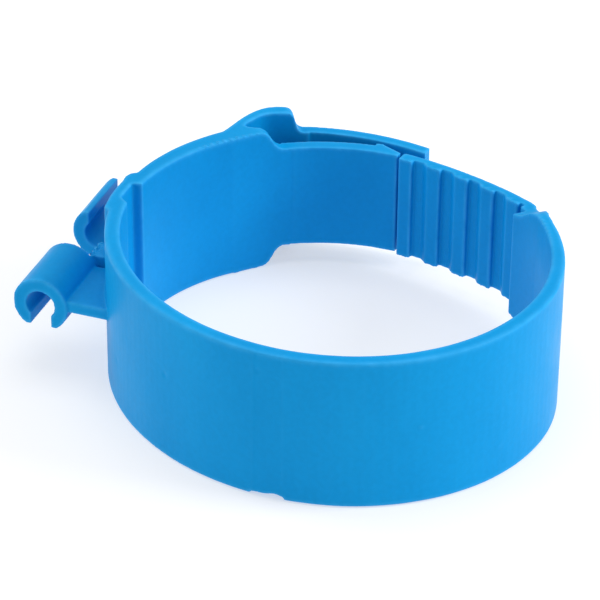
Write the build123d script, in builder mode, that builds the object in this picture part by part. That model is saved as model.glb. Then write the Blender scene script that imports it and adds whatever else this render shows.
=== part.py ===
from build123d import *
from math import asin, atan2, cos, degrees, radians, sin
import os

# Livestock leg band: a hinged plastic ring that closes round the shank of a leg.
# Seen from above, angles are polar angles about the middle of the oval bore, counter-clockwise
# from +X. "Outward" is the distance outside the bore's surface. The ring stands on z = 0.
# The front half carries a toothed tongue; the rear half carries the channel that takes it,
# between a sprung pawl arm and a guide wall. A film hinge joins the halves, and two spring
# clips for a rod stand outside it, one on each half.

# ---- Overall ring (mm, degrees) ----
bore_radius = 46.7          # mean radius of the oval bore
bore_ovality = 2.1          # how far the bore swells and narrows about its mean radius
bore_tilt = 9.0             # turn of the oval's axes
band_height = 35.6          # height of the wide halves
band_wall = 3.4             # wall of the wide halves
strap_height = 25.6         # height of the tongue, the pawl arm and the guide wall
rim_round = 0.5             # rounding along the top and bottom rims
flex_gap = 0.3              # space round the rounded root of each flexing piece

# ---- Front half and its shoulder ----
front_start = 162.8         # inner corner of the hinge recess
taper_start = 335.0         # where the front half's wall starts to thin
shoulder_start = 369.0      # where the wide front half meets its shoulder (9 degrees)
shoulder_step_start = 371.5 # start of the step down in height
shoulder_step_end = 386.5   # end of the step down in height
shoulder_wall = 2.6
shoulder_swell = 3.2        # how far the shoulder moves outward to meet the tongue's root
stop_start = 372.0          # inner end stop, a ramp with a steep end beside the teeth
stop_end = 385.6
stop_proud = 0.9            # height of the end stop inside the bore
stop_seat = 1.2             # thinning of the shoulder behind the end stop
stop_seat_end = 2.6         # shoulder's inner face outside the bore at the tongue's root
notch_start = 249.0         # moulding notch in the bottom rim
notch_end = 258.0
notch_depth = 0.6

# ---- Hinge ----
hinge_front_pivot = 159.3   # axis of the bend at the front half
hinge_rear_pivot = 154.2    # axis of the bend at the rear half
film_wall = 2.5             # thickness of the hinge film
film_depth = 2.1            # depth of the recess inside the film
lip_length = 4.6            # length of each lip, in degrees
lip_chamfer = 1.2           # length of the slope at each lip's end, in degrees
lip_crown = 0.4             # swelling of the rear half's lip
recess_slope = 2.5          # slope of the recess's front wall, in degrees

# ---- Tongue ----
tongue_radius = 99.5        # outer radius of the tongue, much flatter than the ring
tongue_wall = 1.9           # strap under the teeth
tongue_root = 388.4         # ring angle of the tongue's root
tongue_end = 70.8           # ring angle of the tongue's tip, short of the pawl's tip
tongue_end_middle = 2.66    # tip's middle line outside the bore
tooth_count = 5
tooth_depth = 1.15
tooth_land = 3.4
tooth_slope = 1.6           # run of the sloped face
first_tooth = 1.7           # from the tongue's root to the first catch face
tip_round = 0.8

# ---- Rear half, channel, pawl and guide ----
rear_end = 118.0            # where the rear half runs into the channel's root
rear_start = 152.2          # inner corner of the hinge recess
rear_end_wall = 5.0         # wall of the rear half where the two channel walls part
pawl_root = 100.6
pawl_wall = 3.1
pawl_tip_wall = 1.6
pawl_lean = 1.25            # pawl arm's distance outside the bore at its root
pawl_tip_lean = 1.7
barb_start = 78.9           # catch face of the barb
barb_top = 77.2
pawl_tip = 72.1
tip_slant = 0.5             # how far the tip's outer corner runs ahead, in degrees
barb_depth = 1.0
guide_root = 95.6
guide_end = 65.6
guide_thickness = 2.8
slot_clearance = 1.5        # room beside the toothed tongue in the channel
mouth_clearance = 0.7       # gap between the barb's base and the guide wall's end
pocket_end = 112.0          # rounded blind end of the channel
pocket_crown = 104.5        # where the channel is widest
pocket_swell = 0.6          # how much wider the channel is there on each side
pocket_wall = 3.3           # wall outside the pocket
inner_step_start = 110.4    # step down of the channel's inner wall
inner_step_end = 102.4
outer_step_start = 100.8    # step down of the channel's outer wall
outer_step_end = 96.8

# ---- Rod clips ----
clip_heading = 160.0        # direction from the ring's axis to the line of both clips
clip_gap = 1.4              # between the front half's lip and the clips' outer round
clip_bore = 3.4
clip_wall = 3.0
clip_mouth = 4.8
clip_lip = 1.9              # how far the lips beside the mouth reach past the bore
clip_length = 17.0
front_clip_start = -22.4    # where each clip starts along the clips' axis
rear_clip_start = 10.0
web_thickness = 2.7
web_lift = 0.7              # web's middle above the middle of the band
web_inset = 0.4             # web's ends inside the clip's ends
gate_length = 3.8           # trimmed moulding gate beside the hinge
gate_reach = 3.4
gate_thickness = 4.0
gate_lift = 2.2             # gate's middle above the middle of the band
gate_overhang = 2.0         # how far the gate's outer part runs on past the hinge's bend
gate_overhang_reach = 2.0
gate_overhang_thickness = 2.0
gate_overhang_lift = 3.2    # middle of the gate's outer part above the middle of the band

margin = 2.0                # how far a cut runs past what it cuts
mid_height = band_height / 2
lip_wall = film_depth + film_wall   # lips of both halves, as thick as recess and film together


# ---- Shared geometry ----
def bore_reach(angle):
    """Distance from the ring's axis to the bore's surface."""
    return bore_radius - bore_ovality * sin(radians(2 * angle + bore_tilt))


def ring_point(angle, outward=0.0):
    """Point at a polar angle, a distance outside the bore."""
    reach = bore_reach(angle) + outward
    return (reach * cos(radians(angle)), reach * sin(radians(angle)))


def ring_points(start, end, outward_start, outward_end):
    """Points that follow the bore, about ten degrees apart, while the distance outside it changes."""
    steps = max(2, round(abs(end - start) / 10))
    shares = [step / steps for step in range(steps + 1)]
    return [
        ring_point(start + share * (end - start), outward_start + share * (outward_end - outward_start))
        for share in shares
    ]


def wall_plan(start, end, inner, outer):
    """Plan of a wall along the ring; inner and outer give its faces at the start and the end."""
    with BuildSketch() as plan:
        with BuildLine():
            Spline(*ring_points(start, end, *inner))
            Line(ring_point(end, inner[1]), ring_point(end, outer[1]))
            Spline(*ring_points(end, start, outer[1], outer[0]))
            Line(ring_point(start, outer[0]), ring_point(start, inner[0]))
        make_face()
    return plan.sketch


def straight_plan(*corners):
    """Plan with straight sides between (angle, outward) corners."""
    with BuildSketch() as plan:
        with BuildLine():
            Polyline(*[ring_point(*corner) for corner in corners], close=True)
        make_face()
    return plan.sketch


def height_step(start, end, near, far):
    """Cutter that takes both rims of a wall down to the strap's height between two angles."""
    middle = radians((start + end) / 2)
    outward = Vector(cos(middle), sin(middle), 0)
    along = Vector(-sin(middle), cos(middle), 0) * (1 if end > start else -1)
    half_run = radians(abs(end - start) / 2) * (near + far) / 2
    with BuildPart() as cutter:
        with BuildSketch(Plane(outward * near + Vector(0, 0, mid_height), x_dir=along, z_dir=outward)):
            with BuildLine():
                Spline((-half_run, mid_height), (half_run, strap_height / 2), tangents=((1, 0), (1, 0)))
                Polyline(
                    (half_run, strap_height / 2),
                    (3 * half_run + margin, strap_height / 2),
                    (3 * half_run + margin, mid_height + margin),
                    (-half_run, mid_height + margin),
                    (-half_run, mid_height),
                )
            make_face()
            mirror(about=Plane.XZ)
        extrude(amount=far - near)
    return cutter.part


def strap_extrude(plan):
    """Piece at the strap's height, in the middle of the band's height."""
    with BuildPart() as strap:
        with BuildSketch(Plane.XY.offset(mid_height - strap_height / 2)):
            add(plan)
        extrude(amount=strap_height)
    return strap.part


def finish(part, name):
    """Label a piece and write its file."""
    part.label = name
    export_step(part, "parts/" + name + ".step")


os.makedirs("parts", exist_ok=True)

# ---- Flexing roots ----
film_middle = film_depth + film_wall / 2
film_front = ring_point(hinge_front_pivot, film_middle)
film_rear = ring_point(hinge_rear_pivot, film_middle)
film_seat = film_wall / 2 + flex_gap
pawl_pivot = ring_point(pawl_root, pawl_lean + pawl_wall / 2)
pawl_seat = pawl_wall / 2 + flex_gap
slot_width = tongue_wall + tooth_depth + slot_clearance
guide_lean = pawl_lean + pawl_wall + slot_width    # guide wall's inner face outside the bore
guide_end_lean = pawl_tip_lean + pawl_wall + mouth_clearance
guide_root_outward = guide_lean + guide_thickness
guide_pivot = ring_point(guide_root, guide_lean + guide_thickness / 2)
guide_seat = guide_thickness / 2 + flex_gap

# The tongue's own arc: its middle line runs from the shoulder to the tip in front of the pawl.
shoulder_end_outer = shoulder_wall + shoulder_swell
tongue_middle = tongue_radius - tongue_wall / 2
tongue_pivot = ring_point(tongue_root, shoulder_end_outer - tongue_wall / 2)
tongue_seat = tongue_wall / 2 + flex_gap
tongue_chord = Vector(*ring_point(tongue_end, tongue_end_middle)) - Vector(*tongue_pivot)
tongue_outward = tongue_chord.normalized().rotate(Axis.Z, -90)
tongue_half_turn = degrees(asin(tongue_chord.length / 2 / tongue_middle))
tongue_reach = 2 * tongue_half_turn
tongue_heading = degrees(atan2(tongue_outward.Y, tongue_outward.X)) - tongue_half_turn
tongue_centre = Vector(*tongue_pivot) - Vector(1, 0).rotate(Axis.Z, tongue_heading) * tongue_middle

# ---- Front half ----
with BuildPart() as front_band:
    extrude(wall_plan(front_start, taper_start, (0, 0), (band_wall, band_wall)), amount=band_height)
    extrude(wall_plan(taper_start, shoulder_start, (0, 0), (band_wall, shoulder_wall)), amount=band_height)
    fillet(front_band.faces().filter_by(Axis.Z).edges().filter_by(GeomType.BSPLINE), rim_round)
    recess_end = front_start - recess_slope
    extrude(
        straight_plan(
            (front_start, 0),
            (recess_end, film_depth),
            (recess_end, lip_wall),
            (front_start + lip_length - lip_chamfer, lip_wall),
            (front_start + lip_length, band_wall),
            (front_start + lip_length, band_wall / 2),
            (front_start, band_wall / 2),
        ),
        amount=band_height,
    )
    with Locations(film_front):
        Cylinder(film_seat, 3 * band_height, mode=Mode.SUBTRACT)
    extrude(
        wall_plan(notch_start, notch_end, (-margin, -margin), (band_wall + margin, band_wall + margin)),
        amount=notch_depth,
        mode=Mode.SUBTRACT,
    )

shoulder_cutter = height_step(
    shoulder_step_start, shoulder_step_end, bore_radius - 4 * margin, bore_radius + 6 * margin
)
with BuildPart() as end_shoulder:
    extrude(wall_plan(shoulder_start, stop_start, (0, 0), (shoulder_wall, shoulder_wall)), amount=band_height)
    extrude(
        wall_plan(stop_start, tongue_root, (stop_seat, stop_seat_end), (shoulder_wall, shoulder_end_outer)),
        amount=band_height,
    )
    add(shoulder_cutter, mode=Mode.SUBTRACT)
    with Locations(tongue_pivot):
        Cylinder(tongue_seat, 3 * band_height, mode=Mode.SUBTRACT)

with BuildPart() as end_stop:
    extrude(
        wall_plan(stop_start, stop_end, (0, -stop_proud), (stop_seat + flex_gap, stop_seat_end + flex_gap)),
        amount=band_height,
    )
    add(shoulder_cutter, mode=Mode.SUBTRACT)
    add(end_shoulder.part, mode=Mode.SUBTRACT)

# ---- Hinge film: a stadium between the two bend axes ----
film_run = Vector(*film_rear) - Vector(*film_front)
with BuildPart() as hinge_film:
    with BuildSketch(Plane(Vector(*film_front) + film_run / 2, x_dir=film_run, z_dir=(0, 0, 1))):
        SlotCenterToCenter(film_run.length, film_wall)
    extrude(amount=band_height)

# ---- Tongue: an arc of its own with a row of teeth on its inner side ----
strap_inside = tongue_radius - tongue_wall
tooth_inside = strap_inside - tooth_depth
tongue_length = radians(tongue_reach) * strap_inside
tooth_pitch = (tongue_length - first_tooth - tooth_land) / (tooth_count - 1)


def tongue_turn(length):
    """Angle of the tongue's own arc that a length along its teeth takes."""
    return length / radians(strap_inside)


def tongue_point(turn, reach):
    """Point on the tongue, by turn from its root and distance from its own centre."""
    return tongue_centre + Vector(reach, 0).rotate(Axis.Z, tongue_heading + turn)


def tongue_arc(turn_start, turn_end, reach):
    """Arc about the tongue's own centre."""
    return CenterArc(tongue_centre, reach, tongue_heading + turn_start, turn_end - turn_start)


with BuildSketch() as strap_plan:
    with BuildLine():
        tongue_arc(0, tongue_reach, strap_inside)
        Line(tongue_point(tongue_reach, strap_inside), tongue_point(tongue_reach, tongue_radius))
        tongue_arc(0, tongue_reach, tongue_radius)
        Line(tongue_point(0, tongue_radius), tongue_point(0, strap_inside))
    make_face()
    fillet(strap_plan.vertices().sort_by_distance(tongue_point(tongue_reach, tongue_radius))[0], tip_round)
    with Locations(tongue_point(0, tongue_middle)):
        Circle(tongue_wall / 2)
tongue_strap = strap_extrude(strap_plan.sketch)

land_turn = tongue_turn(tooth_land)
slope_turn = tongue_turn(tooth_slope)
teeth = []
for tooth in range(tooth_count):
    catch_turn = tongue_turn(first_tooth + tooth * tooth_pitch)
    land_end = min(catch_turn + land_turn, tongue_reach)
    slope_end = min(catch_turn + land_turn + slope_turn, tongue_reach)
    with BuildSketch() as tooth_plan:
        with BuildLine():
            tongue_arc(catch_turn, slope_end, strap_inside)
            Polyline(
                tongue_point(catch_turn, strap_inside),
                tongue_point(catch_turn, tooth_inside),
                tongue_point(land_end, tooth_inside),
                tongue_point(slope_end, strap_inside),
            )
        make_face()
    teeth.append(strap_extrude(tooth_plan.sketch))

# ---- Rear half and the root of the channel ----
with BuildPart() as rear_band:
    extrude(wall_plan(rear_start, rear_end, (0, 0), (band_wall, rear_end_wall)), amount=band_height)
    fillet(rear_band.faces().filter_by(Axis.Z).edges().filter_by(GeomType.BSPLINE), rim_round)
    extrude(
        straight_plan(
            (rear_start, 0),
            (rear_start, band_wall / 2),
            (rear_start - lip_length, band_wall / 2),
            (rear_start - lip_length, band_wall),
            (rear_start - lip_length + lip_chamfer, lip_wall),
            (rear_start - lip_length / 3, lip_wall + lip_crown),
            (rear_start + 1.0, lip_wall),
            (rear_start + 1.0, film_depth),
        ),
        amount=band_height,
    )
    with Locations(film_rear):
        Cylinder(film_seat, 3 * band_height, mode=Mode.SUBTRACT)

pocket_near = pawl_lean + pawl_wall - pocket_swell
pocket_far = guide_lean + pocket_swell
bump_outward = pocket_far + pocket_wall
pocket_mouth = guide_root - margin
with BuildSketch() as pocket_plan:
    with BuildLine():
        Spline(
            ring_point(pocket_mouth, pawl_lean + pawl_wall),
            ring_point(pawl_root, pawl_lean + pawl_wall - flex_gap),
            ring_point(pocket_crown, pocket_near),
            ring_point(pocket_end - margin, pocket_near + 0.2),
            ring_point(pocket_end, (pocket_near + pocket_far) / 2 - 1.0),
            ring_point(pocket_end - 2.5, (pocket_near + pocket_far) / 2 + 1.0),
            ring_point(pocket_crown + margin, pocket_far - 0.2),
            ring_point(pocket_crown - margin, pocket_far - 0.1),
            ring_point(pocket_mouth, guide_lean),
        )
        Line(ring_point(pocket_mouth, guide_lean), ring_point(pocket_mouth, pawl_lean + pawl_wall))
    make_face()

pocket_middle_outward = (pocket_near + pocket_far) / 2
with BuildSketch() as channel_plan:
    with BuildLine():
        Spline(*ring_points(rear_end, pawl_root, 0, pawl_lean))
        Polyline(
            ring_point(pawl_root, pawl_lean),
            ring_point(pawl_root, pocket_middle_outward),
            ring_point(guide_root, pocket_middle_outward),
            ring_point(guide_root, guide_root_outward),
        )
        Spline(
            ring_point(guide_root, guide_root_outward),
            ring_point(pocket_crown - 4, bump_outward - 0.4),
            ring_point(pocket_crown, bump_outward),
            ring_point(pocket_crown + 4, bump_outward - 1.6),
            ring_point(pocket_end + 1.5, bump_outward - 5.0),
            ring_point(rear_end, rear_end_wall),
        )
        Line(ring_point(rear_end, rear_end_wall), ring_point(rear_end, 0))
    make_face()
    add(pocket_plan.sketch, mode=Mode.SUBTRACT)

inner_wall_reach = bore_reach(inner_step_start) + pocket_near
split_reach = bore_reach(pocket_crown) + pocket_middle_outward
with BuildPart() as channel_root:
    extrude(channel_plan.sketch, amount=band_height)
    add(
        height_step(inner_step_start, inner_step_end, bore_radius - margin, inner_wall_reach),
        mode=Mode.SUBTRACT,
    )
    add(
        height_step(outer_step_start, outer_step_end, split_reach, split_reach + bump_outward),
        mode=Mode.SUBTRACT,
    )
    with Locations(pawl_pivot):
        Cylinder(pawl_seat, 3 * band_height, mode=Mode.SUBTRACT)
    with Locations(guide_pivot):
        Cylinder(guide_seat, 3 * band_height, mode=Mode.SUBTRACT)

# ---- Pawl arm with its barb, and the guide wall ----
barb_base = pawl_tip_lean + pawl_wall
with BuildSketch() as arm_plan:
    add(wall_plan(pawl_root, barb_start, (pawl_lean, pawl_tip_lean), (pawl_lean + pawl_wall, barb_base)))
    add(
        straight_plan(
            (barb_start, pawl_tip_lean),
            (barb_start, barb_base),
            (pawl_tip - tip_slant, pawl_tip_lean + pawl_tip_wall),
            (pawl_tip, pawl_tip_lean),
        )
    )
    with Locations(pawl_pivot):
        Circle(pawl_wall / 2)
pawl_arm = strap_extrude(arm_plan.sketch)
pawl_barb = strap_extrude(
    straight_plan(
        (barb_start, barb_base),
        (barb_start, barb_base + barb_depth),
        (barb_top, barb_base + barb_depth),
        (pawl_tip - tip_slant, pawl_tip_lean + pawl_tip_wall),
    )
)

with BuildSketch() as guide_plan:
    add(
        wall_plan(
            guide_root,
            guide_end,
            (guide_lean, guide_end_lean),
            (guide_root_outward, guide_end_lean + guide_thickness),
        )
    )
    with Locations(guide_pivot):
        Circle(guide_thickness / 2)
guide_wall = strap_extrude(guide_plan.sketch)

# ---- Rod clips: a cradle on a web and a sprung jaw, for each half ----
clip_outward = Vector(1, 0).rotate(Axis.Z, clip_heading)
clip_along = clip_outward.rotate(Axis.Z, -90)
clip_radius = clip_bore + clip_wall
clip_distance = bore_reach(clip_heading) + lip_wall + clip_gap + clip_radius
jaw_reach = clip_bore + clip_wall / 2


def clip_plane(distance, start):
    """Cross-section plane of a clip: x points outward, y up, and the clip runs on from its start."""
    origin = clip_outward * distance + clip_along * start + Vector(0, 0, mid_height)
    return Plane(origin, x_dir=clip_outward, z_dir=clip_along)


def clip_half(start, side, mouth):
    """Half of a clip: side is 1 for the outer jaw and -1 for the cradle; mouth is 1 up, -1 down."""
    with BuildPart() as half:
        with BuildSketch(clip_plane(clip_distance, start)):
            Circle(clip_radius)
            Circle(clip_bore, mode=Mode.SUBTRACT)
            with Locations((0, mouth * clip_radius)):
                Rectangle(clip_mouth, 2 * clip_radius, mode=Mode.SUBTRACT)
            with Locations((0, mouth * (clip_bore + clip_lip + clip_radius / 2))):
                Rectangle(2 * clip_radius, clip_radius, mode=Mode.SUBTRACT)
            with Locations((-side * clip_radius, 0)):
                Rectangle(2 * clip_radius, 2 * clip_radius, mode=Mode.SUBTRACT)
            with Locations((0, -mouth * jaw_reach)):
                if side > 0:
                    Circle(clip_wall / 2)
                else:
                    Circle(clip_wall / 2 + flex_gap, mode=Mode.SUBTRACT)
        extrude(amount=clip_length)
    return half.part


def outermost(part):
    """The solid furthest out towards the clips."""
    return part.solids().sort_by_distance(clip_outward * 2 * clip_distance)[0]


def clip_web(start, band):
    """Flat web from a half of the ring to its clip's cradle."""
    web_length = clip_length - 2 * web_inset
    with BuildPart() as web:
        with BuildSketch(clip_plane(clip_distance, start + web_inset)):
            with Locations((-clip_distance / 2, web_lift)):
                Rectangle(clip_distance, web_thickness)
            Circle(clip_radius, mode=Mode.SUBTRACT)
        extrude(amount=web_length)
        add(band, mode=Mode.SUBTRACT)
    return outermost(web.part)


gate_end = Vector(*film_front).dot(clip_along) - film_seat - flex_gap
with BuildPart() as gate_tab:
    with BuildSketch(clip_plane(bore_reach(front_start) + lip_wall, gate_end - gate_length)):
        with Locations((0, gate_lift)):
            Rectangle(2 * gate_reach, gate_thickness)
    extrude(amount=gate_length)
    add(front_band.part, mode=Mode.SUBTRACT)
    with BuildSketch(clip_plane(bore_reach(front_start) + lip_wall, gate_end)):
        with Locations((gate_reach - gate_overhang_reach / 2, gate_overhang_lift)):
            Rectangle(gate_overhang_reach, gate_overhang_thickness)
    extrude(amount=gate_overhang)

pieces = {
    "front_band": front_band.part,
    "end_shoulder": end_shoulder.part,
    "end_stop": end_stop.part,
    "front_clip_web": clip_web(front_clip_start, front_band.part),
    "front_clip_cradle": clip_half(front_clip_start, -1, -1),
    "front_clip_jaw": clip_half(front_clip_start, 1, -1),
    "gate_tab": outermost(gate_tab.part),
    "hinge_film": hinge_film.part,
    "rear_band": rear_band.part,
    "channel_root": channel_root.part,
    "rear_clip_web": clip_web(rear_clip_start, rear_band.part),
    "rear_clip_cradle": clip_half(rear_clip_start, -1, 1),
    "rear_clip_jaw": clip_half(rear_clip_start, 1, 1),
    "pawl_arm": pawl_arm,
    "pawl_barb": pawl_barb,
    "guide_wall": guide_wall,
    "tongue_strap": tongue_strap,
}
for number, tooth in enumerate(teeth, start=1):
    pieces["ratchet_tooth_" + str(number)] = tooth
for name, piece in pieces.items():
    finish(piece, name)
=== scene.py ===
import math

import bpy
import numpy as np
from mathutils import Matrix, Vector


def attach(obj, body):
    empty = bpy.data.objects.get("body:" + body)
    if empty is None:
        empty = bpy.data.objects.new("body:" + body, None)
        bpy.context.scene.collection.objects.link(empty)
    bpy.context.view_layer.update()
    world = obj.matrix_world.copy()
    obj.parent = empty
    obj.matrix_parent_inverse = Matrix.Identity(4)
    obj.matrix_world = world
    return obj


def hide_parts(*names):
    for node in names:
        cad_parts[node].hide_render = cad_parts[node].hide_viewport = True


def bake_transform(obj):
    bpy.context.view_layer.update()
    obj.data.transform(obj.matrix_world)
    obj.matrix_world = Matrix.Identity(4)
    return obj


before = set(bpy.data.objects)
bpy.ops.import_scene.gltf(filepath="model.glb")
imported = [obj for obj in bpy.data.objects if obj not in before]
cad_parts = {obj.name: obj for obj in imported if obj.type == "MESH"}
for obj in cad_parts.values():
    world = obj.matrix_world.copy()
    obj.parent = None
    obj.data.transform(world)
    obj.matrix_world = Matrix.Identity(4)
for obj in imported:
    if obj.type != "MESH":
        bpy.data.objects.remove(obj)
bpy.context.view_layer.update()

# ---------------------------------------------------------------- sizes of the CAD part, in millimetres
MM = 0.001                       # one millimetre in the frame's metres
BORE_RADIUS = 46.7
BORE_OVALITY = 2.1
BORE_TILT = 9.0
BAND_HEIGHT = 35.6
MID = BAND_HEIGHT / 2
STRAP_LOW, STRAP_HIGH = 5.0, 30.6  # rims of the tongue, pawl and guide
STRAP_HALF = (STRAP_HIGH - STRAP_LOW) / 2
CLIP_HEADING = 160.0
CLIP_DISTANCE = 60.18
CLIP_BORE, CLIP_OUTER = 3.4, 6.4
CLIP_SPANS = {"front": (-22.4, -5.4), "rear": (10.0, 27.0)}
# roots of the flexing walls: angle round the ring, and distance of the wall's middle outside the bore
FILM_FRONT_ANGLE, FILM_REAR_ANGLE, FILM_OUT = 159.3, 154.2, 3.35
PAWL_ANGLE, PAWL_OUT = 100.6, 2.8
GUIDE_ANGLE, GUIDE_OUT = 95.6, 10.3
TONGUE_ANGLE, TONGUE_OUT = 28.4, 4.85
TONGUE_TIP_ANGLE, TONGUE_TIP_OUT = 70.8, 2.66
TONGUE_HEADING = 131.2           # direction in which the tongue leaves its root
TONGUE_MIDDLE = 98.55            # radius of the middle of the tongue's wall

VOXEL = 0.27

OUT = np.array([math.cos(math.radians(CLIP_HEADING)), math.sin(math.radians(CLIP_HEADING))])
ALONG = np.array([math.cos(math.radians(CLIP_HEADING - 90)), math.sin(math.radians(CLIP_HEADING - 90))])


def bore_reach(angle):
    return BORE_RADIUS - BORE_OVALITY * np.sin(np.radians(2 * angle + BORE_TILT))


def ring_point(angle, outward):
    reach = bore_reach(angle) + outward
    return np.array([reach * math.cos(math.radians(angle)), reach * math.sin(math.radians(angle))])


# ---------------------------------------------------------------- one continuous moulding
class Shell:
    """Vertices (mm) and faces of several closed solids."""

    def __init__(self):
        self.points, self.faces, self.count = [], [], 0

    def add(self, points, faces):
        self.points += [tuple(p) for p in points]
        self.faces += [tuple(i + self.count for i in f) for f in faces]
        self.count += len(points)

    def prism(self, outline, place, low, high):
        """Closed outline run from low to high; place(u, v, w) gives the point in space."""
        n = len(outline)
        self.add(
            [place(u, v, low) for u, v in outline] + [place(u, v, high) for u, v in outline],
            [(i, (i + 1) % n, n + (i + 1) % n, n + i) for i in range(n)]
            + [tuple(range(n - 1, -1, -1)), tuple(range(n, 2 * n))],
        )


shell = Shell()
for node in sorted(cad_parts):
    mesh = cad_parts[node].data
    shell.add(
        [tuple(c / MM for c in v.co) for v in mesh.vertices],
        [tuple(f.vertices) for f in mesh.polygons],
    )


def bridge(start, end, inner, outer, low, high):
    """Fills the room round a flexing root, along the ring."""
    angles = np.linspace(start, end, 7)
    outline = [ring_point(a, inner) for a in angles] + [ring_point(a, outer) for a in angles[::-1]]
    shell.prism(outline, lambda u, v, w: (u, v, w), low, high)


# both bends of the film, then the roots of the pawl, the guide and the tongue, each inside its wall
FILM_FACES = (2.1, 4.6)
bridge(FILM_FRONT_ANGLE - 2.4, FILM_FRONT_ANGLE + 2.6, *FILM_FACES, 0, BAND_HEIGHT)
bridge(FILM_REAR_ANGLE - 2.6, FILM_REAR_ANGLE + 2.4, *FILM_FACES, 0, BAND_HEIGHT)
bridge(PAWL_ANGLE - 0.6, PAWL_ANGLE + 2.8, 1.2, 4.3, STRAP_LOW, STRAP_HIGH)
bridge(GUIDE_ANGLE - 0.6, GUIDE_ANGLE + 2.4, 8.85, 11.7, STRAP_LOW, STRAP_HIGH)
bridge(TONGUE_ANGLE - 2.0, TONGUE_ANGLE + 0.9, 3.7, 5.8, STRAP_LOW, STRAP_HIGH)

# the clips' jaws, on the side where they join their cradles
for half, up in (("front", 1), ("rear", -1)):
    turns = np.radians(np.linspace(70, 118, 9))
    rows = ((CLIP_BORE, turns), (CLIP_OUTER, turns[::-1]))
    outline = [(r * math.cos(t), up * r * math.sin(t)) for r, row in rows for t in row]

    def in_clip(u, v, w):
        x, y = OUT * (CLIP_DISTANCE + u) + ALONG * w
        return (x, y, MID + v)

    shell.prism(outline, in_clip, *CLIP_SPANS[half])

source = bpy.data.meshes.new("moulding")
source.from_pydata([tuple(c * MM for c in p) for p in shell.points], [], shell.faces)
source.validate()
body = bpy.data.objects.new("moulding", source)
bpy.context.scene.collection.objects.link(body)
remesh = body.modifiers.new("remesh", "REMESH")
remesh.mode = "VOXEL"
remesh.voxel_size = VOXEL * MM
remesh.adaptivity = 0
evaluated = body.evaluated_get(bpy.context.evaluated_depsgraph_get())
whole = bpy.data.meshes.new_from_object(evaluated)
bpy.data.objects.remove(body)

points = np.zeros(len(whole.vertices) * 3)
whole.vertices.foreach_get("co", points)
points = points.reshape(-1, 3) / MM
loops = np.zeros(len(whole.loops), int)
whole.loops.foreach_get("vertex_index", loops)
starts = np.zeros(len(whole.polygons), int)
whole.polygons.foreach_get("loop_start", starts)
totals = np.zeros(len(whole.polygons), int)
whole.polygons.foreach_get("loop_total", totals)
quads = np.stack([loops[starts + k] for k in range(3)] + [loops[starts + np.minimum(3, totals - 1)]], 1)
edges = np.zeros(len(whole.edges) * 2, int)
whole.edges.foreach_get("vertices", edges)
edges = edges.reshape(-1, 2)
degree = np.bincount(edges.ravel(), minlength=len(points)).astype(float)[:, None]
print("moulding", len(points), "points", len(quads), "faces", "odd faces", int((totals != 4).sum()))


def spread(values):
    """Mean of each point's neighbours."""
    total = np.stack(
        [
            np.bincount(edges[:, 0], values[edges[:, 1], k], len(points))
            + np.bincount(edges[:, 1], values[edges[:, 0], k], len(points))
            for k in range(values.shape[1])
        ],
        1,
    )
    return total / degree


def relax(rounds, share):
    """Smooths without shrinking, by a share for each point."""
    global points
    for step in range(rounds):
        points = points + 0.5 * share * (spread(points) - points)
        points = points - 0.52 * share * (spread(points) - points)


def normals_of(where):
    across = where[quads[:, 2]] - where[quads[:, 0]]
    other = where[quads[:, 3]] - where[quads[:, 1]]
    face = np.cross(across, other)
    result = np.zeros_like(where)
    for k in range(4):
        for axis in range(3):
            result[:, axis] += np.bincount(quads[:, k], face[:, axis], len(where))
    return result / np.maximum(np.linalg.norm(result, axis=1, keepdims=True), 1e-12)


def bulge_of(where, rounds):
    """How far each point stands out from its surroundings."""
    result = -np.einsum("ij,ij->i", spread(where) - where, normals_of(where))[:, None]
    for step in range(rounds):
        result = spread(result)
    return result


def band(value, low, high, blur):
    """1 between low and high, falling to 0 over blur on both sides."""
    return np.clip((value - low) / blur + 0.5, 0, 1) * np.clip((high - value) / blur + 0.5, 0, 1)


def rough(x, y, seed):
    """Repeatable uneven value between -1 and 1."""
    total = np.zeros_like(x)
    for k, (a, b, c) in enumerate(((1.0, 0.7, 0.3), (2.3, -1.9, 1.7), (4.9, 3.1, 4.1), (9.7, -8.3, 2.2))):
        total += np.sin(a * x + b * y + c + seed * (k + 1)) / (1 + 0.6 * k)
    return total / 2.2


CREASE_BULGE = 0.018             # bulge from which an edge is kept sharp
relax(5, 1.0)                    # takes the steps off the cubes of the remesh
crease = np.clip(np.abs(bulge_of(points, 3)) / CREASE_BULGE, 0, 1)
for step in range(3):
    crease = np.maximum(crease, spread(crease))
relax(28, 1 - crease)

# ---------------------------------------------------------------- moulding marks
angle = np.degrees(np.arctan2(points[:, 1], points[:, 0])) % 360
outward = np.hypot(points[:, 0], points[:, 1]) - bore_reach(angle)
clip_n = points[:, :2] @ OUT
clip_s = points[:, :2] @ ALONG
ARC_RADIUS = BORE_RADIUS + 2     # radius in the middle of the wall
arc = np.radians(angle) * ARC_RADIUS
normal = normals_of(points)
push = np.zeros(len(points))
# shallow strip over the notch, on the outer face of the front half
# (in this section, lengths are in mm, angles in degrees, and the last value of each band is its blur)
push -= 0.07 * band(angle, 250.1, 257.1, 0.7) * band(outward, 2.6, 4.5, 0.8)
# nicks and dimples on the outer face
NICKS = (  # angle, height, depth and size
    (251.0, 31.0, -0.12, 0.5),
    (222.0, 20.5, -0.14, 0.7),
    (290.4, 19.0, 0.09, 0.6),
    (196.0, 12.0, -0.08, 0.9),
    (312.0, 8.0, 0.06, 1.1),
    (129.0, 22.0, -0.08, 0.8),
)
for turn, high, depth, size in NICKS:
    away = np.hypot(arc - math.radians(turn) * ARC_RADIUS, points[:, 2] - high)
    push += depth * np.exp(-((away / size) ** 2)) * (outward > 1.5)
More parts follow.
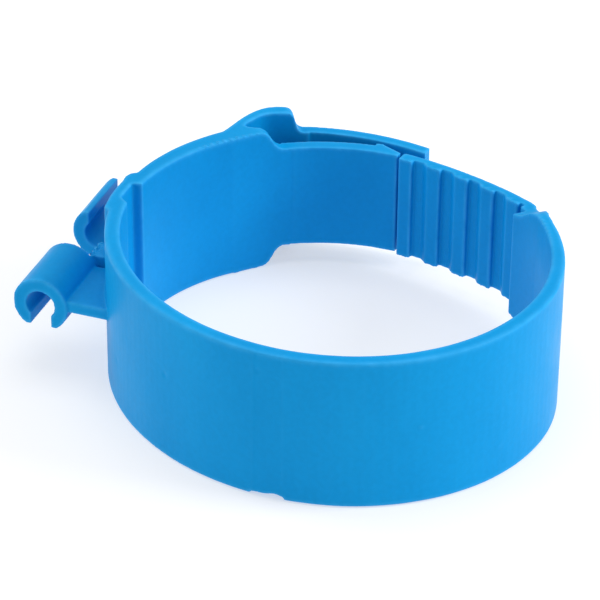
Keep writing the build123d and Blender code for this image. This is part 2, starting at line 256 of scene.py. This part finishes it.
# very slight unevenness of the cooled wall
push += 0.03 * rough(points[:, 0] / 9, points[:, 1] / 9 + points[:, 2] / 14, 0.4)
points = points + push[:, None] * normal
# ragged flash along the inner edges of the rims near the channel and the shoulder
RIM_DEPTH, RIM_BLUR = 0.9, 0.6   # how deep below a rim its flash starts, and how softly
from_middle = points[:, 2] - MID
rim = np.clip((np.abs(from_middle) - MID + RIM_DEPTH) / RIM_BLUR, 0, 1)
inner_edge = band(outward, -0.6, 0.9, 0.5)
flash = (from_middle > 0) * band(angle, 102, 128, 5) * inner_edge + 0.6 * band(angle, 0, 12, 4) * inner_edge
ragged = np.clip(rough(arc * 3.6, arc * 0.3, 1.3) + 0.2, 0, 1)
points[:, 2] += np.sign(from_middle) * rim * flash * 0.3 * ragged
# finer flash along the rims of the teeth
from_middle = points[:, 2] - MID
strap_rim = np.clip((np.abs(from_middle) - STRAP_HALF + 0.8) / RIM_BLUR, 0, 1)
strap_start = ring_point(TONGUE_ANGLE, TONGUE_OUT)
strap_end = ring_point(TONGUE_TIP_ANGLE, TONGUE_TIP_OUT)
half_chord = (strap_end - strap_start) / 2
half_length = float(np.linalg.norm(half_chord))
strap_centre = strap_start + half_chord + (
    np.array([-half_chord[1], half_chord[0]]) / half_length * math.sqrt(TONGUE_MIDDLE**2 - half_length**2)
)
inside_strap = TONGUE_MIDDLE - np.hypot(*(points[:, :2] - strap_centre).T)
teeth_flash = band(angle, 31, 70, 1) * band(inside_strap, 1.0, 5, 0.6)
ragged = np.clip(rough(arc * 3.1, outward * 3, 2.1), -0.3, 1)
points[:, 2] += np.sign(from_middle) * strap_rim * teeth_flash * 0.16 * ragged
# the notch rises towards its right end
NOTCH_PEAK, NOTCH_SPREAD, NOTCH_RISE = 255.4, 1.9, 0.6
NOTCH_FADE = 4                   # height at which the wall above the notch is level again
notch_rise = NOTCH_RISE * np.exp(-(((angle - NOTCH_PEAK) / NOTCH_SPREAD) ** 2))
notch_rise *= band(angle, 249.4, 257.8, 0.6)
points[:, 2] += notch_rise * np.clip(1 - points[:, 2] / NOTCH_FADE, 0, 1) * (outward < 5)
# torn edge of the trimmed gate
torn = band(clip_s, -5.2, 1.0, 0.3) * band(points[:, 2], 17.6, 22.6, 0.3)
torn *= np.clip((clip_n - 54.0) / 1.2, 0, 1) * (outward > 4.9)
jag = torn * (0.55 * rough(clip_s * 4.2, points[:, 2] * 3.3, 0.9) + 0.15)
points[:, :2] += jag[:, None] * OUT
points[:, 2] += torn * 0.4 * rough(clip_s * 5.1, clip_n * 4.1, 2.6)

normal = normals_of(points)

# how sharply each point stands out, for the painted highlight that lightens the sharp edges
edge_highlight = np.clip(bulge_of(points, 3)[:, 0] / (0.11 * VOXEL), -1, 1)


# ---------------------------------------------------------------- split at the joints
def root_frame(turn, out, heading):
    """Pivot of a flexing piece and the direction in which it runs."""
    run = math.radians(heading)
    return ring_point(turn, out), np.array([math.cos(run), math.sin(run)])


film_front = ring_point(FILM_FRONT_ANGLE, FILM_OUT)
film_rear = ring_point(FILM_REAR_ANGLE, FILM_OUT)
film_dir = (film_rear - film_front) / np.linalg.norm(film_rear - film_front)
film_run = float((film_rear - film_front) @ film_dir)
tongue_root, tongue_dir = root_frame(TONGUE_ANGLE, TONGUE_OUT, TONGUE_HEADING)
pawl_root, pawl_dir = root_frame(PAWL_ANGLE, PAWL_OUT, PAWL_ANGLE - 90)
guide_root, guide_dir = root_frame(GUIDE_ANGLE, GUIDE_OUT, GUIDE_ANGLE - 90)


def past(root, direction, where):
    """How far each place lies beyond a root, along its piece."""
    return (where[:, :2] - root) @ direction


CUT = 2.2                        # how far behind its root a flexing piece is cut off
PAWL_CUT = 2.4
CHANNEL_MOUTH = 71.6             # angle between the tongue's tip and the pawl's
centres = points[quads].mean(1)
f_angle = np.degrees(np.arctan2(centres[:, 1], centres[:, 0])) % 360
f_out = np.hypot(centres[:, 0], centres[:, 1]) - bore_reach(f_angle)
f_n, f_s = centres[:, :2] @ OUT, centres[:, :2] @ ALONG
f_h = centres[:, 2] - MID
film_t = past(film_front, film_dir, centres)
near_hinge = (f_n > 40) & (f_n < 57) & (f_out < 7)

label = np.full(len(quads), "", dtype="U16")
front_side = np.where(f_n > 40, film_t < film_run / 2, (f_angle > 170) | (f_angle < 50))
label[front_side] = "front_half"
label[~front_side] = "rear_half"
label[near_hinge & (film_t > -CUT) & (film_t <= film_run / 2)] = "hinge_front"
label[near_hinge & (film_t > film_run / 2) & (film_t < film_run + CUT)] = "hinge_rear"
tongue_zone = (f_angle > 24) & (f_angle < CHANNEL_MOUTH) & (past(tongue_root, tongue_dir, centres) > -CUT)
tongue_zone &= (f_out < 4.9 + 0.06 * (CHANNEL_MOUTH - f_angle)) & (f_out > -6)
label[tongue_zone] = "tongue"
# the line between pawl and guide moves outward from the mouth to the pocket
slot_split = 5.0 + 3.4 * (f_angle - 65.6) / 30
pawl_zone = (f_angle > CHANNEL_MOUTH) & (f_angle < 106) & (f_out < slot_split)
pawl_zone &= past(pawl_root, pawl_dir, centres) > -PAWL_CUT
guide_zone = (f_angle > 60) & (f_angle < 100) & (f_out > slot_split)
guide_zone &= past(guide_root, guide_dir, centres) > -CUT
label[guide_zone] = "guide"
label[pawl_zone] = "pawl"
for half, up in (("front", 1), ("rear", -1)):
    low, high = CLIP_SPANS[half]
    inside = (f_s > low - 1) & (f_s < high + 1) & (f_out > 5)
    root_side = f_h * up > 0
    jaw_side = np.where(root_side, f_n > CLIP_DISTANCE - 2.3, f_n > CLIP_DISTANCE)
    label[inside & jaw_side] = half + "_jaw"

# ---------------------------------------------------------------- material


def plastic():
    """Satin blue polypropylene: slightly mottled colour, soft gloss, fine skin and a painted highlight
    lightening the sharp edges.
    """
    material = bpy.data.materials.new("blue_plastic")
    material.use_nodes = True
    tree = material.node_tree
    nodes, links = tree.nodes, tree.links
    shader = nodes["Principled BSDF"]
    shader.inputs["IOR"].default_value = 1.49
    shader.inputs["Specular IOR Level"].default_value = 0.07
    shader.inputs["Coat Weight"].default_value = 0.0

    place = nodes.new("ShaderNodeTexCoord")

    def noise(scale, detail, rough=0.5, stretch=(1, 1, 1)):
        mapping = nodes.new("ShaderNodeMapping")
        mapping.inputs["Scale"].default_value = stretch
        links.new(place.outputs["Object"], mapping.inputs["Vector"])
        texture = nodes.new("ShaderNodeTexNoise")
        texture.inputs["Scale"].default_value = scale
        texture.inputs["Detail"].default_value = detail
        texture.inputs["Roughness"].default_value = rough
        links.new(mapping.outputs["Vector"], texture.inputs["Vector"])
        return texture.outputs["Fac"]

    def ramp(source_socket, stops):
        node = nodes.new("ShaderNodeValToRGB")
        elements = node.color_ramp.elements
        while len(elements) < len(stops):
            elements.new(0.5)
        for element, (position, colour) in zip(elements, stops):
            element.position = position
            element.color = (*colour, 1)
        links.new(source_socket, node.inputs["Fac"])
        return node.outputs["Color"]

    def mix(kind, factor, one, two):
        node = nodes.new("ShaderNodeMix")
        node.data_type = "RGBA"
        node.blend_type = kind
        if isinstance(factor, float):
            node.inputs["Factor"].default_value = factor
        else:
            links.new(factor, node.inputs["Factor"])
        for socket, value in ((node.inputs["A"], one), (node.inputs["B"], two)):
            if isinstance(value, tuple):
                socket.default_value = (*value, 1)
            else:
                links.new(value, socket)
        return node.outputs["Result"]

    def scale(socket, low, high):
        node = nodes.new("ShaderNodeMapRange")
        node.inputs["From Min"].default_value = 0.3
        node.inputs["From Max"].default_value = 0.7
        node.inputs["To Min"].default_value = low
        node.inputs["To Max"].default_value = high
        links.new(socket, node.inputs["Value"])
        return node.outputs["Result"]

    base = ramp(
        noise(45, 4, stretch=(1, 1, 0.45)),
        [(0.3, (0.001, 0.285, 0.665)), (0.52, (0.002, 0.305, 0.70)), (0.75, (0.003, 0.33, 0.735))],
    )
    fine = ramp(noise(900, 3), [(0.35, (0.93, 0.93, 0.93)), (0.65, (1.0, 1.0, 1.0))])
    colour = mix("MULTIPLY", 0.6, base, fine)
    # painted highlight: the sharp edges are mixed towards a lighter blue, standing in for the glint of
    # light along them
    edge = nodes.new("ShaderNodeAttribute")
    edge.attribute_name = "edge"
    highlight_share = nodes.new("ShaderNodeMath")
    highlight_share.operation = "MULTIPLY"
    highlight_share.use_clamp = True
    links.new(edge.outputs["Fac"], highlight_share.inputs[0])
    links.new(scale(noise(260, 4), 0.35, 0.8), highlight_share.inputs[1])
    colour = mix("MIX", highlight_share.outputs["Value"], colour, (0.06, 0.46, 0.90))
    links.new(colour, shader.inputs["Base Color"])

    links.new(scale(noise(70, 5, 0.6), 0.34, 0.46), shader.inputs["Roughness"])

    skin = nodes.new("ShaderNodeBump")
    skin.inputs["Strength"].default_value = 0.12
    skin.inputs["Distance"].default_value = 0.00012
    links.new(noise(1500, 3), skin.inputs["Height"])
    flow = nodes.new("ShaderNodeBump")
    flow.inputs["Strength"].default_value = 0.25
    flow.inputs["Distance"].default_value = 0.0004
    links.new(noise(110, 3, stretch=(1, 1, 0.25)), flow.inputs["Height"])
    links.new(skin.outputs["Normal"], flow.inputs["Normal"])
    links.new(flow.outputs["Normal"], shader.inputs["Normal"])
    return material


BLUE = plastic()
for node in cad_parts.values():
    node.data.materials.clear()
    node.data.materials.append(BLUE)


def build(name, chosen):
    """One piece of the skin; it meets its neighbours edge to edge."""
    picked = quads[chosen]
    used, index = np.unique(picked.ravel(), return_inverse=True)
    picked = index.reshape(-1, 4)
    mesh = bpy.data.meshes.new(name)
    mesh.from_pydata((points[used] * MM).tolist(), [], [tuple(dict.fromkeys(f)) for f in picked.tolist()])
    mesh.validate()
    mesh.shade_smooth()
    # the edge attribute carries the painted highlight on the sharp edges
    attribute = mesh.attributes.new("edge", "FLOAT", "POINT")
    attribute.data.foreach_set("value", edge_highlight[used].astype(np.float32))
    mesh.normals_split_custom_set_from_vertices(normal[used].tolist())
    mesh.materials.append(BLUE)
    piece = bpy.data.objects.new(name, mesh)
    bpy.context.scene.collection.objects.link(piece)
    return piece


def across(piece, first, second, root, direction, before=1.5, after=1.5):
    """Bakes the piece's world transform into its mesh."""
    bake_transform(piece)


RIDES = {"front_half": "front", "rear_half": "rear"}
STANDS_FOR = {
    "front_half": [
        "front_band", "end_shoulder", "end_stop", "front_clip_web", "front_clip_cradle", "gate_tab",
    ],
    "rear_half": ["rear_band", "channel_root", "rear_clip_web", "rear_clip_cradle"],
    "hinge_front": ["hinge_film"],
    "tongue": ["tongue_strap"] + [f"ratchet_tooth_{i}" for i in range(1, 6)],
    "pawl": ["pawl_arm", "pawl_barb"],
    "guide": ["guide_wall"],
    "front_jaw": ["front_clip_jaw"],
    "rear_jaw": ["rear_clip_jaw"],
}
made = {}
for name in sorted(set(label)):
    made[name] = build(name, label == name)
    print(name, len(made[name].data.polygons))
for name, body_name in RIDES.items():
    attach(made[name], body_name)
across(made["hinge_front"], "front", "film", film_front, film_dir)
across(made["hinge_rear"], "film", "rear", film_rear, film_dir)
across(made["tongue"], "front", "tongue", tongue_root, tongue_dir)
across(made["pawl"], "rear", "pawl", pawl_root, pawl_dir)
across(made["guide"], "rear", "guide", guide_root, guide_dir)
jaw_root = OUT * CLIP_DISTANCE
across(made["front_jaw"], "front", "front_jaw", jaw_root, OUT, before=1.6, after=0.4)
across(made["rear_jaw"], "rear", "rear_jaw", jaw_root, OUT, before=1.6, after=0.4)
for name, nodes in STANDS_FOR.items():
    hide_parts(*nodes)

# ---------------------------------------------------------------- stage, light and camera
floor_mesh = bpy.data.meshes.new("floor")
floor_mesh.from_pydata([(-4, -4, 0), (4, -4, 0), (4, 4, 0), (-4, 4, 0)], [], [(0, 1, 2, 3)])
floor = bpy.data.objects.new("floor", floor_mesh)
bpy.context.scene.collection.objects.link(floor)
floor.location.z = -0.0002
pale = bpy.data.materials.new("floor")
pale.use_nodes = True
pale_shader = pale.node_tree.nodes["Principled BSDF"]
pale_shader.inputs["Base Color"].default_value = (0.55, 0.55, 0.55, 1)
pale_shader.inputs["Emission Color"].default_value = (1, 1, 1, 1)
pale_shader.inputs["Emission Strength"].default_value = 0.5
pale_shader.inputs["Roughness"].default_value = 0.9
floor_mesh.materials.append(pale)

world = bpy.data.worlds.new("studio")
bpy.context.scene.world = world
world.use_nodes = True
sky = world.node_tree.nodes["Background"]
sky.inputs["Color"].default_value = (1, 1, 1, 1)
sky.inputs["Strength"].default_value = 0.54


# soft light: a key from the right, weaker boxes from the left, from above and from behind
def softbox(name, place, size, power, aim=(0, 0, 0.018)):
    light = bpy.data.lights.new(name, "AREA")
    light.shape = "RECTANGLE"
    light.size, light.size_y = size
    light.energy = power
    box = bpy.data.objects.new(name, light)
    bpy.context.scene.collection.objects.link(box)
    box.location = place
    box.rotation_mode = "QUATERNION"
    box.rotation_quaternion = (Vector(aim) - Vector(place)).to_track_quat("-Z", "Y")


softbox("key", (0.95, -0.1, 0.55), (0.5, 0.5), 7.6)
softbox("fill", (-0.9, -0.25, 0.4), (0.3, 0.5), 0.9)
softbox("top", (0.0, 0.1, 1.0), (0.6, 0.6), 2.2)
softbox("back", (-0.8, 0.45, 0.5), (0.4, 0.4), 2.6)

bpy.context.scene.view_settings.view_transform = "Standard"

ELEVATION, ROLL = math.radians(31.77), math.radians(0.5)
camera_data = bpy.data.cameras.new("camera")
camera_data.lens, camera_data.sensor_width = 192, 36
camera_data.clip_start, camera_data.clip_end = 0.01, 20
camera = bpy.data.objects.new("camera", camera_data)
bpy.context.scene.collection.objects.link(camera)
forward = Vector((0, math.cos(ELEVATION), -math.sin(ELEVATION)))
down = -Vector((0, math.sin(ELEVATION), math.cos(ELEVATION)))
right = Vector((1, 0, 0))
x_axis = math.cos(ROLL) * right - math.sin(ROLL) * down
y_axis = -(math.sin(ROLL) * right + math.cos(ROLL) * down)
camera.matrix_world = Matrix.Translation((-0.00731, -0.59526, 0.38811)) @ Matrix(
    (x_axis, y_axis, -forward)
).transposed().to_4x4()
bpy.context.scene.camera = camera
